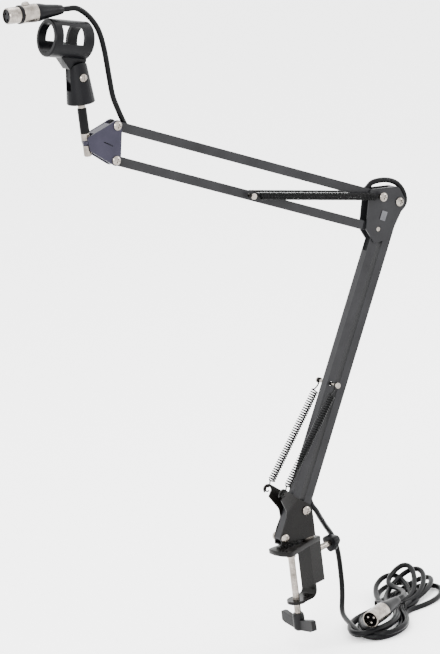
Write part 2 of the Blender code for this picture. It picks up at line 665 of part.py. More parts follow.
def head_bracket(head):
    """Two cheeks that narrow to a bush, joined by a web along their upper edge."""
    top = Vector((0, 0, 0))
    low = -HEAD_LINK
    stem_x = STEM_X - HEAD_TOP.x
    bush_z = BUSH_Z - HEAD_TOP.z
    tip = (stem_x + 1.5 * MM, bush_z + BUSH_H + 1.0 * MM, 3.2 * MM)
    circles = [(top.x, top.z, 5.8 * MM), (low.x, low.z, 5.8 * MM), tip,
               (tip[0] + 0.5 * MM, tip[1] - 11.5 * MM, 2 * MM)]
    outline = hull_of_circles(circles)
    near = slab("head_bracket", outline[::-1], SHEET, "blue_steel", head,
                centre=-CHEEK_IN - SHEET / 2)
    far = slab("head_cheek_far", outline[::-1], SHEET, "blue_steel", head,
               centre=CHEEK_IN + SHEET / 2)
    slope = Vector((top.x - tip[0], 0, top.z + 5.8 * MM - tip[1] - tip[2]))
    length = slope.length - 8 * MM
    web = box("head_web", (6 * MM, -CHEEK_IN - SHEET / 2, -SHEET - 0.1 * MM),
              (length, CHEEK_IN + SHEET / 2, -0.1 * MM), "blue_steel", head)
    web.location = (tip[0], 0, tip[1] + tip[2])
    web.rotation_euler = (0, -math.atan2(slope.z, slope.x), 0)
    tab = box("head_tab", (stem_x - 2 * MM, -CHEEK_IN - SHEET / 2, bush_z + BUSH_H - 3 * MM),
              (stem_x + 6 * MM, CHEEK_IN + SHEET / 2, bush_z + BUSH_H - 0.8 * MM), "blue_steel", head)
    bush = rod("head_bush", (stem_x, 0, bush_z), (stem_x, 0, bush_z + BUSH_H), BUSH_R,
               "blue_steel", head)
    join(near, far, web, tab, bush)
    bore = rod("bush_bore", (stem_x, 0, bush_z - 0.005), (stem_x, 0, bush_z + BUSH_H + 0.005),
               STEM_STUD_R + GAP, "blue_steel", head, sides=20)
    relief = rod("stem_relief", (stem_x, 0, bush_z + BUSH_H), (stem_x, 0, bush_z + 0.03),
                 COLLAR_R + GAP, "blue_steel", head)
    nut_relief = rod("nut_relief", (stem_x, 0, bush_z), (stem_x, 0, bush_z - 0.03),
                     COLLAR_R + GAP, "blue_steel", head)
    slot = box("head_slot", (-6 * MM, -CHEEK_OUT - 1 * MM, -0.6 * MM),
               (6 * MM, -CHEEK_IN + 0.4 * MM, 0.6 * MM), "blue_steel", head)
    slot.location = (-13.4 * MM, 0, -16.4 * MM)
    slot.rotation_euler = (0, math.radians(33), 0)
    cut(near, slot)
    for label, at in (("top", top), ("low", low)):
        hole = rod(f"head_hole_{label}", (at.x, -0.03, at.z), (at.x, 0.03, at.z), HOLE_R,
                   "blue_steel", head, sides=20)
        cut(near, hole)
    return cut(near, bore, relief, nut_relief)


# ---------------------------------------------------------------- stem, handle and clip
def stem_pieces(stem):
    """Everything that turns with the stem, about local Z through the bush's lower face."""
    collar_low = BUSH_H + GAP
    tube_low = collar_low + COLLAR_H + GAP
    stud_top = collar_low + COLLAR_H - 1 * MM
    turned("stem_stud", [(0.0, stud_top), (STEM_STUD_R, stud_top), (STEM_STUD_R, -GAP),
                         (COLLAR_R - 0.8 * MM, -GAP),
                         (COLLAR_R - 0.8 * MM, -11 * MM), (COLLAR_R - 1.6 * MM, -12 * MM),
                         (0.0, -12 * MM)],
           "nickel", stem, sides=20)
    bore = STEM_STUD_R + GAP
    collar = turned("stem_collar", [(0.0, collar_low + COLLAR_H), (COLLAR_R, collar_low + COLLAR_H),
                                    (COLLAR_R, collar_low), (bore, collar_low),
                                    (bore, collar_low + COLLAR_H - 1 * MM + GAP),
                                    (0.0, collar_low + COLLAR_H - 1 * MM + GAP)],
                    "nickel", stem, sides=20)
    cross = rod("collar_hole", (0, -0.01, collar_low + COLLAR_H / 2 + 1 * MM),
                (0, -STEM_STUD_R - GAP, collar_low + COLLAR_H / 2 + 1 * MM), 1.3 * MM,
                "nickel", stem, sides=12)
    cut(collar, cross)
    rod("stem_tube", (0, 0, tube_low), (0, 0, tube_low + TUBE_H - GAP), TUBE_R, "black_plastic", stem)
    thread_low = tube_low + TUBE_H
    handle_low = HANDLE_Z - BUSH_Z
    thread_top = handle_low + 10 * MM
    rod("stem_thread", (0, 0, thread_low), (0, 0, thread_top), THREAD_R, "nickel", stem)
    handle(stem, handle_low, thread_top)


def handle(stem, low, thread_top):
    """Tapered plastic socket, slotted at the top to take the clip's lug."""
    top = low + HANDLE_H
    pivot = CLIP_PIVOT_Z - BUSH_Z
    slot = LUG_T / 2 + GAP
    body = turned("clip_handle", [(0.0, top + 2 * MM), (HANDLE_R_HIGH, top + 2 * MM),
                                  (HANDLE_R_LOW, low + 0.8 * MM),
                                  (HANDLE_R_LOW - 0.8 * MM, low), (THREAD_R + GAP, low),
                                  (THREAD_R + GAP, thread_top + GAP), (0.0, thread_top + GAP)],
                  "black_plastic", stem, sides=32)
    round_top = arc((0, pivot), top - pivot, 180, 0, 13)
    cap = [(-0.03, pivot - 0.001), *round_top, (0.03, pivot - 0.001),
           (0.03, top + 0.03), (-0.03, top + 0.03)]
    trim = slab("handle_trim", cap, 0.06, "black_plastic", stem)
    slot_box = box("handle_slot", (-0.02, -slot, pivot - LUG_R - 1.2 * MM), (0.02, slot, top + 0.01),
                   "black_plastic", stem)
    hole = rod("handle_hole", (0, -0.02, pivot), (0, 0.02, pivot), 2.0 * MM + GAP, "black_plastic",
               stem, sides=16)
    cut(body, trim, slot_box, hole)
    for side, sign in (("near", -1), ("far", 1)):
        sink = rod(f"handle_sink_{side}", (0, sign * (HANDLE_R_LOW - 4.4 * MM), pivot),
                   (0, sign * 0.03, pivot), 4.3 * MM + GAP, "black_plastic", stem, sides=20)
        cut(body, sink)
    reach = HANDLE_R_LOW - 4.4 * MM + GAP
    screw = turned("clip_screw", [(0.0, reach + 2.4 * MM), (3.0 * MM, reach + 2.4 * MM),
                                  (4.3 * MM, reach + 1.2 * MM), (4.3 * MM, reach), (2.0 * MM, reach),
                                  (2.0 * MM, -reach), (4.3 * MM, -reach),
                                  (4.3 * MM, -reach - 2 * MM), (0.0, -reach - 2 * MM)],
                   "nickel", stem, sides=20, location=(0, 0, pivot), rotation=(math.pi / 2, 0, 0))
    slit = box("clip_screw_slot", (-0.6 * MM, -0.02, pivot - 5 * MM),
               (0.6 * MM, -reach - 1.6 * MM, pivot + 5 * MM), "nickel", stem)
    cut(screw, slit)


def clip_body(clip):
    """Open-sided barrel for the microphone, a saddle under it and the pivot lug."""
    half = CLIP_LENGTH / 2
    inner = CLIP_R - CLIP_WALL
    lip = 1.2 * MM
    body = turned("clip_body", [(0.0, half), (CLIP_R - lip, half), (CLIP_R, half - lip),
                                (CLIP_R, -half + lip), (CLIP_R - lip, -half), (0.0, -half)],
                  "black_plastic", clip, sides=40, location=CLIP_CENTRE,
                  rotation=(0, math.pi / 2 + CLIP_TILT, 0))
    window = box("clip_windows", (-14.2 * MM, -0.03, -4 * MM), (12.1 * MM, 0.03, 14 * MM),
                 "black_plastic", clip, location=CLIP_CENTRE, rotation=(0, CLIP_TILT, 0))
    saddle_r = CLIP_PIVOT_CLEAR
    neck = arc((0, 0), saddle_r, 138, 60, 8)
    neck += [(CLIP_CENTRE.x + 19 * MM, CLIP_CENTRE.z - 15 * MM),
             (CLIP_CENTRE.x - 16 * MM, CLIP_CENTRE.z - 8 * MM)]
    saddle = slab("clip_saddle", neck, LUG_T + 6 * MM, "black_plastic", clip)
    lug = slab("clip_lug", hull_of_circles([(0, 0, LUG_R), (0.5 * MM, saddle_r + 2 * MM, 8 * MM)])[::-1],
               LUG_T, "black_plastic", clip)
    barrel = rod("clip_barrel_bore", (-half - 0.01, 0, 0), (half + 0.01, 0, 0), inner,
                 "black_plastic", clip, sides=40, location=CLIP_CENTRE, rotation=(0, CLIP_TILT, 0))
    hole = rod("clip_lug_hole", (0, -0.02, 0), (0, 0.02, 0), 2.0 * MM + GAP, "black_plastic", clip,
               sides=16)
    join(body, saddle, lug)
    return cut(body, barrel, window, hole)


# ---------------------------------------------------------------- connectors
def female_connector(parent):
    """Socket connector along local X, its mating face at x = 0."""
    ring_at = 14 * MM
    turn = (0, math.pi / 2, 0)
    tip_r = SHELL_R - 1.1 * MM
    turned("xlr_socket_shell", [
        (SHELL_R - SHELL_WALL, 34 * MM), (SHELL_R, 34 * MM), (SHELL_R, 18 * MM + GAP),
        (tip_r, 17 * MM + GAP), (tip_r, 0.8 * MM), (tip_r - 0.8 * MM, 0), (tip_r - 1.2 * MM, 0),
        (tip_r - 1.2 * MM, 18 * MM), (SHELL_R - SHELL_WALL, 18 * MM), (SHELL_R - SHELL_WALL, 34 * MM)],
        "nickel", parent, sides=28, rotation=turn)
    turned("xlr_socket_gasket", [
        (tip_r + GAP, 17 * MM - GAP), (SHELL_R + 0.2 * MM, 17 * MM - GAP),
        (SHELL_R + 0.2 * MM, ring_at), (tip_r + GAP, ring_at), (tip_r + GAP, 17 * MM - GAP)],
        "black_plastic", parent, sides=28, rotation=turn)
    insert = turned("xlr_socket_insert", [
        (0.0, 17 * MM), (tip_r - 1.2 * MM - GAP, 17 * MM), (tip_r - 1.2 * MM - GAP, 1.2 * MM),
        (0.0, 1.2 * MM)], "insert_plastic", parent, sides=24, rotation=turn)
    for i, (y, z) in enumerate(pin_places()):
        hole = rod(f"socket_hole_{i}", (-0.001, y, z), (12 * MM, y, z), 1.4 * MM,
                   "insert_plastic", parent, sides=10)
        cut(insert, hole)
    latch_slot = box("latch_slot", (18.5 * MM, -2.6 * MM, SHELL_R - 4 * MM), (27 * MM, 2.6 * MM, 0.02),
                     "nickel", parent)
    cut(bpy.data.objects["xlr_socket_shell"], latch_slot)
    boot(parent, "xlr_socket_boot", 34 * MM, 66 * MM)


def latch_button(parent):
    """Thumb latch of the socket connector, proud of the shell."""
    outline = [(19 * MM, SHELL_R - 3.4 * MM), (26.5 * MM, SHELL_R - 3.4 * MM),
               (26.5 * MM, SHELL_R + 0.6 * MM), (24.5 * MM, SHELL_R + 3.2 * MM),
               (20.5 * MM, SHELL_R + 2.4 * MM), (19 * MM, SHELL_R + 0.8 * MM)]
    return slab("xlr_latch", outline, 4.4 * MM, "nickel", parent)


def pin_places():
    """Contact centres of a three-pole connector, round its axis."""
    return [(4.1 * MM * math.cos(math.radians(a)), 4.1 * MM * math.sin(math.radians(a)))
            for a in (150, 270, 30)]


def boot(parent, name, start, end):
    """Black rear sleeve that tapers down to the cable."""
    length = end - start
    low = start + GAP
    mouth = CABLE_R + 1.9 * MM
    profile = [(0.0, end), (mouth - 0.6 * MM, end), (mouth, end - 1 * MM),
               (mouth + 1.0 * MM, start + length * 0.78),
               (SHELL_R - 2.1 * MM, start + length * 0.38), (SHELL_R - 0.3 * MM, low + 4 * MM),
               (SHELL_R - 0.3 * MM, low), (0.0, low)]
    return turned(name, profile, "black_plastic", parent, sides=24, rotation=(0, math.pi / 2, 0))


def male_connector(parent):
    """Plug connector along local X, its open end at x = 0, with three contact pins."""
    turn = (0, math.pi / 2, 0)
    inner = SHELL_R - SHELL_WALL
    depth = 14 * MM
    turned("xlr_plug_shell", [
        (inner, 28 * MM), (SHELL_R, 28 * MM), (SHELL_R, 0.8 * MM), (SHELL_R - 0.5 * MM, 0), (inner, 0),
        (inner, 28 * MM)], "nickel", parent, sides=28, rotation=turn)
    turned("xlr_plug_insert", [
        (0.0, 27 * MM), (inner - GAP, 27 * MM), (inner - GAP, depth), (0.0, depth)],
        "insert_plastic", parent, sides=24, rotation=turn)
    for i, (y, z) in enumerate(pin_places(), start=1):
        rod(f"xlr_plug_pin_{i}", (1.5 * MM, y, z), (depth - GAP, y, z), 1.2 * MM, "nickel",
            parent, sides=10)
    boot(parent, "xlr_plug_boot", 28 * MM, 62 * MM)


# ---------------------------------------------------------------- cable
def channel_point(pivot, along, distance, lift):
    """A point in an open channel, from its pivot, above the channel's middle line."""
    normal = Vector((-along.z, 0, along.x))
    if normal.dot(Vector((1, 0, 1))) < 0:
        normal = -normal
    return pivot + along * distance + normal * lift


def hank_outline():
    """Two round lobes with a tied waist between them, about HANK_CENTRE."""
    reach = math.degrees(math.acos((HANK_LOBE_R - HANK_WAIST + 6 * MM) / HANK_LOBE))
    right = arc((HANK_LOBE, 0), HANK_LOBE_R, reach - 180, 180 - reach, 15)
    left = arc((-HANK_LOBE, 0), HANK_LOBE_R, reach, 360 - reach, 15)
    waist_y = HANK_WAIST - 1 * MM
    outline = right + [(6 * MM, waist_y), (-6 * MM, waist_y)] + left
    outline += [(-6 * MM, -waist_y), (6 * MM, -waist_y)]
    return outline


def lobe_entry(side, angle, height):
    """Where a run of cable meets a lobe of the hank, and the direction in which it enters."""
    angle = math.radians(angle)
    out = Vector((math.cos(angle), math.sin(angle), 0))
    along = Vector((math.cos(HANK_TURN), math.sin(HANK_TURN), 0))
    centre = HANK_CENTRE + along * side * HANK_LOBE + Vector((0, 0, FLOOR + height))
    return centre + out * (HANK_LOBE_R + GAP), -out


def lay_cable(arms):
    """The whole lead, in stretches that follow the bodies they are held by."""
    inside = -BAR_SIZE / 2 + BAR_WALL + CABLE_R + GAP
    down = -UPPER_DIR
    boot_end = FEMALE_TIP + Vector((math.cos(FEMALE_TILT), 0, -math.sin(FEMALE_TILT))) * (66 * MM + GAP)
    first = channel_point(HEAD_TOP, down, 28 * MM, inside)
    boot_dir = Vector((math.cos(FEMALE_TILT), 0, -math.sin(FEMALE_TILT)))
    beside = [(-25.4, 127.9), (-13.4, 117.5), (-4.1, 101.5), (0, 80.2), (1.6, 52.5), (3, 30.9), (7, 15.5)]
    lead = [boot_end, boot_end + boot_dir * 6 * MM]
    lead += [HEAD_TOP + Vector((x * MM, 0, z * MM)) for x, z in beside]
    lead += [channel_point(HEAD_TOP, down, 9 * MM, inside + 8 * MM),
             channel_point(HEAD_TOP, down, 16 * MM, inside + 2 * MM),
             channel_point(HEAD_TOP, down, 22 * MM, inside), first]
    cable("cable_head", lead, arms)
    last = channel_point(HEAD_TOP, down, ARM_LENGTH - 30 * MM, inside)
    tube("cable_upper", [first + down * GAP, last - down * GAP], CABLE_R, "cable_rubber", arms)
    up = LOWER_DIR
    start = channel_point(REAR_PIVOT, up, ARM_LENGTH - 32 * MM, inside)
    over = [last, channel_point(HEAD_TOP, down, ARM_LENGTH - 25 * MM, inside),
            channel_point(HEAD_TOP, down, ARM_LENGTH - 16 * MM, inside + 4.5 * MM),
            ELBOW_TOP + Vector((-3 * MM, 0, 15.5 * MM)), ELBOW_REAR + Vector((-10 * MM, 0, 26 * MM)),
            ELBOW_REAR + Vector((4 * MM, 0, 19 * MM)), ELBOW_REAR + Vector((11.5 * MM, 0, 7 * MM)),
            ELBOW_REAR + Vector((11 * MM, 0, -5 * MM)),
            channel_point(REAR_PIVOT, up, ARM_LENGTH - 13 * MM, inside + 6 * MM),
            channel_point(REAR_PIVOT, up, ARM_LENGTH - 22 * MM, inside + 0.5 * MM),
            channel_point(REAR_PIVOT, up, ARM_LENGTH - 26 * MM, inside), start]
    cable("cable_elbow", over, arms)
    end = channel_point(REAR_PIVOT, up, 30 * MM, inside)
    tube("cable_lower", [start - up * GAP, end + up * GAP], CABLE_R, "cable_rubber", arms)
    slant = Vector((0.55, 0.41, -0.73)).normalized()
    handover = REAR_PIVOT + Vector((27.2 * MM, 7 * MM, -20.4 * MM))
    leave = [end, end - up * 5 * MM, channel_point(REAR_PIVOT, up, 15 * MM, inside + 4.5 * MM),
             REAR_PIVOT + Vector((12.5 * MM, 0, 2 * MM)),
             REAR_PIVOT + Vector((18.4 * MM, 1 * MM, -7.4 * MM)),
             handover - slant * 4 * MM, handover]
    cable("cable_base", leave, arms)
    hang = [handover + slant * GAP, handover + slant * 5 * MM, (36 * MM, 16 * MM, 3 * MM),
            (48 * MM, 24 * MM, -12 * MM), (54 * MM, 26.5 * MM, -30 * MM), (56 * MM, 28.5 * MM, -46 * MM),
            (56 * MM, 28.5 * MM, -54 * MM), (56 * MM, 28.5 * MM, -60 * MM)]
    cable("cable_swivel", hang, arms)
    land, inward = lobe_entry(-1, 112, HANK_H / 2)
    drop = [Vector(hang[-1]) + Vector((0, 0, -GAP)), (56 * MM, 28.5 * MM, -66 * MM),
            (54 * MM, 27 * MM, -80 * MM), (47 * MM, 20 * MM, -93.5 * MM),
            (36 * MM, 8 * MM, -101.5 * MM), land - inward * 3 * MM, land]
    cable("cable_drop", drop, arms)
    hank = slab("cable_hank", hank_outline(), HANK_H, "cable_rubber", arms,
                centre=FLOOR + HANK_H / 2, upright=False)
    hank.location = (HANK_CENTRE.x, HANK_CENTRE.y, FLOOR + HANK_H / 2)
    hank.rotation_euler = (0, 0, HANK_TURN)
    tie_slot = 4 * MM
    waist = HANK_WAIST - 1 * MM
    tie = box("hank_tie", (-tie_slot / 2, -waist - 1.6 * MM, FLOOR + 0.2 * MM),
              (tie_slot / 2, waist + 1.6 * MM, FLOOR + HANK_H + 1.4 * MM), "black_plastic", arms,
              location=(HANK_CENTRE.x, HANK_CENTRE.y, 0), rotation=(0, 0, HANK_TURN))
    hollow = box("hank_tie_inside", (-0.01, -waist - GAP, FLOOR - 0.01),
                 (0.01, waist + GAP, FLOOR + HANK_H + GAP), "black_plastic", arms,
                 location=(HANK_CENTRE.x, HANK_CENTRE.y, 0), rotation=(0, 0, HANK_TURN))
    cut(tie, hollow)
    ahead = Vector((math.cos(MALE_TURN), math.sin(MALE_TURN), 0))
    rear_end = MALE_TIP + ahead * (62 * MM + GAP)
    landing = Vector((121 * MM, -5.3 * MM, FLOOR + HANK_H + GAP))
    tail = [rear_end, rear_end + ahead * 4 * MM, rear_end + ahead * 13 * MM + Vector((0, 0, -0.5 * MM)),
            landing + Vector((-5 * MM, -2.5 * MM, 7.5 * MM)), landing + Vector((0, 0, 3 * MM)), landing]
    cable("cable_tail", tail, arms)


def cable_clip(top_bar):
    """Saddle clip that holds the lead down where it enters the top bar's channel."""
    half = BAR_SIZE / 2 - BAR_WALL - GAP
    lead_z = -BAR_SIZE / 2 + BAR_WALL + CABLE_R + GAP
    saddle = box("cable_clip", (22.5 * MM, -half, lead_z - 1 * MM),
                 (27.5 * MM, half, lead_z + CABLE_R + 2.2 * MM), "black_plastic", top_bar)
    groove = rod("cable_clip_groove", (0, 0, lead_z), (0.04, 0, lead_z), CABLE_R + 0.8 * GAP,
                 "black_plastic", top_bar, sides=20)
    below = box("cable_clip_mouth", (0, -CABLE_R - 0.8 * GAP, -0.02), (0.04, CABLE_R + 0.8 * GAP, lead_z),
                "black_plastic", top_bar)
    return cut(saddle, groove, below)


# ---------------------------------------------------------------- assembly
def build():
    clamp = axes("clamp_axes", (0, 0, 0), (0, 0, JAW_TURN))
    clamp_frame(clamp)
    clamp_screw(clamp)
    lock_screw(clamp)

    stud_at = Vector((math.cos(JAW_TURN), math.sin(JAW_TURN), 0)) * SCREW_TO_STUD
    arms = axes("swivel_axis", stud_at)
    base_stud(arms)
    swivel_washer(arms)
    base = axes("base_axes", FRONT_PIVOT, parent=arms)
    base_bracket(base)
    near, far = CHEEK_OUT + GAP, CHEEK_OUT + GAP
    bolt("base_front_bolt", base, (0, 0), near, far)
    bolt("base_rear_bolt", base, (BASE_LINK.x, BASE_LINK.z), near, far)

    front = axes("lower_front_axis", FRONT_PIVOT, laid_along(LOWER_DIR), arms)
    rear = axes("lower_rear_axis", REAR_PIVOT, laid_along(LOWER_DIR), arms)
    bar("lower_front_bar", front, side=-1, open_end=True)
    bar("lower_rear_bar", rear, side=-1)

    elbow = axes("elbow_axis", ELBOW_REAR, parent=arms)
    elbow_bracket(elbow)
    bolt("elbow_rear_bolt", elbow, (0, 0), near, far)
    top = HEAD_LINK - BASE_LINK
    bolt("elbow_top_bolt", elbow, (top.x, top.z), UPPER_SPRING_Y + 2 * MM, UPPER_SPRING_Y + 2 * MM)
    shared_reach = CHEEK_OUT - GAP
    rod("elbow_shared_pin", (-BASE_LINK.x, -shared_reach, -BASE_LINK.z),
        (-BASE_LINK.x, shared_reach, -BASE_LINK.z), BOLT_R, "nickel", elbow, sides=20)

    # the upper bars are modelled from the head towards the elbow
    top_bar = axes("upper_top_axis", HEAD_TOP, laid_along(-UPPER_DIR), arms)
    bottom_bar = axes("upper_bottom_axis", HEAD_LOW, laid_along(-UPPER_DIR), arms)
    bar("upper_top_bar", top_bar)
    bar("upper_bottom_bar", bottom_bar, narrow_end=True)
    cable_clip(top_bar)

    for name, axis in (("lower_spring_pin", front), ("upper_spring_pin", bottom_bar)):
        reach = LOWER_SPRING_Y + 2 * MM if axis is front else UPPER_SPRING_Y + 2 * MM
        body = bpy.data.objects["lower_front_bar" if axis is front else "upper_bottom_bar"]
        hole = rod(name + "_hole", (ARM_LENGTH / 2, -0.01, 0), (ARM_LENGTH / 2, 0.01, 0),
                   PIN_R + GAP, "grey_steel", axis, sides=16)
        cut(body, hole)
        spring_pin(name, axis, reach)
    hook = FRONT_PIVOT + HOOK_CENTRE
    lower_pin = FRONT_PIVOT + LOWER_DIR * ARM_LENGTH / 2
    upper_pin = ELBOW_SHARED + UPPER_DIR * ARM_LENGTH / 2
    for side, sign in (("near", -1), ("far", 1)):
        y = Vector((0, sign * LOWER_SPRING_Y, 0))
        spring(f"lower_spring_{side}", arms, hook + y, lower_pin + y, LOWER_SPRING_R)
        y = Vector((0, sign * UPPER_SPRING_Y, 0))
        spring(f"upper_spring_{side}", arms, ELBOW_TOP + y, upper_pin + y, UPPER_SPRING_R)

    head = axes("head_axis", HEAD_TOP, parent=arms)
    head_bracket(head)
    bolt("head_top_bolt", head, (0, 0), near, far)
    bolt("head_low_bolt", head, (-HEAD_LINK.x, -HEAD_LINK.z), near, far)
    stem = axes("stem_axis", (STEM_X, 0, BUSH_Z), parent=arms)
    stem_pieces(stem)
    clip = axes("clip_axis", (STEM_X, 0, CLIP_PIVOT_Z), parent=arms)
    clip_body(clip)
    socket = axes("socket_axes", FEMALE_TIP, (0, FEMALE_TILT, 0), arms)
    female_connector(socket)
    latch_button(socket)
    plug = axes("plug_axes", MALE_TIP, (0, 0, MALE_TURN), arms)
    male_connector(plug)
    lay_cable(arms)


def laid_along(direction):
    """Rotation that lays local X along a direction in the arms' plane, with Y kept."""
    return (0, -math.atan2(direction.z, direction.x), 0)


parts, cutters = clear_scene()
build()
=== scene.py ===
import json
import math

import bmesh
import bpy
from mathutils import Matrix, Vector

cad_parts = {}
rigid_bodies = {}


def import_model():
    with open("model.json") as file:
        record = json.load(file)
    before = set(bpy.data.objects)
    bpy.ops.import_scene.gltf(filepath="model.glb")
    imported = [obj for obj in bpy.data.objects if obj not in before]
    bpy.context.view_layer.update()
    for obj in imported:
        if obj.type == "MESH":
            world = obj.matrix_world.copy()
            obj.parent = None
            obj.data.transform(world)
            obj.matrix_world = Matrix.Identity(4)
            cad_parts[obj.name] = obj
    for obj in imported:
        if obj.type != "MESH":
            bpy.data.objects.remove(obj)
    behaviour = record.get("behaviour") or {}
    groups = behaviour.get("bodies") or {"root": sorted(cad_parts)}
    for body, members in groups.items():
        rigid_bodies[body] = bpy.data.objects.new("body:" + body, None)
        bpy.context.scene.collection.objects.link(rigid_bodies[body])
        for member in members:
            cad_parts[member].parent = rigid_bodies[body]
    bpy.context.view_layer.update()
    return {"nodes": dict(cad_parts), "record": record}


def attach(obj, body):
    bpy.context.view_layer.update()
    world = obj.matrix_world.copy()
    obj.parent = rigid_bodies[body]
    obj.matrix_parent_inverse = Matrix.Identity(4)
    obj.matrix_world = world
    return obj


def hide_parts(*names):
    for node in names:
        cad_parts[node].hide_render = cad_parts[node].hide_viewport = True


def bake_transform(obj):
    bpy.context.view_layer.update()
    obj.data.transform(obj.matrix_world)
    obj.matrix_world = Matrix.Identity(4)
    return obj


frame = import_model()
nodes = frame["nodes"]

# ---------------------------------------------------------------- studio
# A white sweep under the arm, lit by a large soft box on each side and one above, the
# way small goods are shot. The camera stands well back with a long lens.
pivot = {joint["name"]: Vector(joint["pos_m"])
         for joint in frame["record"]["behaviour"]["joints"] if "pos_m" in joint}
stud = Vector((pivot["swivel"].x, pivot["swivel"].y, 0))
desk_level = -0.1101

azimuth, elevation, roll = math.radians(-31.965), math.radians(15.493), math.radians(-7.059)
back = Vector((math.sin(azimuth) * math.cos(elevation), -math.cos(azimuth) * math.cos(elevation),
               math.sin(elevation)))
level = Vector((math.cos(azimuth), math.sin(azimuth), 0))
over = back.cross(level)
right = level * math.cos(roll) + over * math.sin(roll)
up = over * math.cos(roll) - level * math.sin(roll)
aim = stud + Vector((-0.078859, 0, 0.264825))
camera = bpy.data.objects.new("camera", bpy.data.cameras.new("camera"))
bpy.context.collection.objects.link(camera)
camera.data.lens = 211.3
camera.data.sensor_width = 36
camera.data.clip_end = 60
seat = Matrix((right, up, back)).transposed().to_4x4()
seat.translation = aim + back * 4.0704
camera.matrix_world = seat
bpy.context.scene.camera = camera

floor_mesh = bpy.data.meshes.new("studio_floor")
sweep = 9
floor_mesh.from_pydata([(x * sweep, y * sweep, desk_level)
                        for x, y in ((-1, -1), (1, -1), (1, 1), (-1, 1))], [], [(0, 1, 2, 3)])
studio_floor = bpy.data.objects.new("studio_floor", floor_mesh)
bpy.context.collection.objects.link(studio_floor)
paper = bpy.data.materials.new("studio_paper")
paper.use_nodes = True
paper.node_tree.nodes["Principled BSDF"].inputs["Base Color"].default_value = (0.96, 0.96, 0.96, 1)
paper.node_tree.nodes["Principled BSDF"].inputs["Roughness"].default_value = 0.9
floor_mesh.materials.append(paper)

world = bpy.context.scene.world or bpy.data.worlds.new("studio")
bpy.context.scene.world = world
world.use_nodes = True
world.node_tree.nodes["Background"].inputs["Color"].default_value = (1, 1, 1, 1)
world.node_tree.nodes["Background"].inputs["Strength"].default_value = 4.2
for label, place, size, power in (("left_softbox", (-1.6, -1.4, 1.3), 0.9, 60),
                                  ("right_softbox", (1.7, -0.9, 1.1), 0.7, 26),
                                  ("top_softbox", (0.1, 0.5, 2.1), 1.2, 40)):
    lamp = bpy.data.objects.new(label, bpy.data.lights.new(label, "AREA"))
    lamp.data.energy = power
    lamp.data.size = size
    lamp.location = place
    lamp.rotation_euler = (aim - Vector(place)).to_track_quat("-Z", "Y").to_euler()
    bpy.context.collection.objects.link(lamp)


# ---------------------------------------------------------------- the lead
# One round flexible microphone lead, a black jacket 5.8 mm across, runs the whole arm: from
# the socket at the clip, down into the top channel, round the elbow, down the rear channel,
# past the swivel and into a hank that lies behind the clamp, with the plug resting on it.
LEAD_R = 0.0029
ARM = 0.350
lower_dir = (pivot["elbow_level"] - pivot["lower_arm"]).normalized()
upper_dir = (pivot["head_level"] - pivot["upper_arm"]).normalized()
BAR_HALF, BAR_SHEET, GAP = 0.005, 0.0011, 0.0003
IN_CHANNEL = -BAR_HALF + BAR_SHEET + LEAD_R + GAP


def grain_group():
    """Fine moulding grain: a slow tint, a roughness and a bumped normal, on object coordinates."""
    tree = bpy.data.node_groups.new("fine_grain", "ShaderNodeTree")
    for name, value in (("Grain Size", 900.0), ("Grain Depth", 0.2), ("Blotch Size", 40.0),
                        ("Rough Low", 0.35), ("Rough High", 0.55)):
        socket = tree.interface.new_socket(name, in_out="INPUT", socket_type="NodeSocketFloat")
        socket.default_value = value
    tree.interface.new_socket("Tint", in_out="OUTPUT", socket_type="NodeSocketFloat")
    tree.interface.new_socket("Roughness", in_out="OUTPUT", socket_type="NodeSocketFloat")
    tree.interface.new_socket("Normal", in_out="OUTPUT", socket_type="NodeSocketVector")
    new, link = tree.nodes.new, tree.links.new
    inlet, outlet = new("NodeGroupInput"), new("NodeGroupOutput")
    coords = new("ShaderNodeTexCoord")
    fine, blotch = new("ShaderNodeTexNoise"), new("ShaderNodeTexNoise")
    for noise, size in ((fine, "Grain Size"), (blotch, "Blotch Size")):
        link(coords.outputs["Object"], noise.inputs["Vector"])
        link(inlet.outputs[size], noise.inputs["Scale"])
    fine.inputs["Detail"].default_value = 3
    blotch.inputs["Detail"].default_value = 6
    blotch.inputs["Roughness"].default_value = 0.62
    rough = new("ShaderNodeMapRange")
    rough.inputs["From Min"].default_value = 0.3
    rough.inputs["From Max"].default_value = 0.7
    link(blotch.outputs["Fac"], rough.inputs["Value"])
    link(inlet.outputs["Rough Low"], rough.inputs["To Min"])
    link(inlet.outputs["Rough High"], rough.inputs["To Max"])
    bump = new("ShaderNodeBump")
    bump.inputs["Distance"].default_value = 0.0002
    link(inlet.outputs["Grain Depth"], bump.inputs["Strength"])
    link(fine.outputs["Fac"], bump.inputs["Height"])
    link(blotch.outputs["Fac"], outlet.inputs["Tint"])
    link(rough.outputs["Result"], outlet.inputs["Roughness"])
    link(bump.outputs["Normal"], outlet.inputs["Normal"])
    return tree


fine_grain = grain_group()


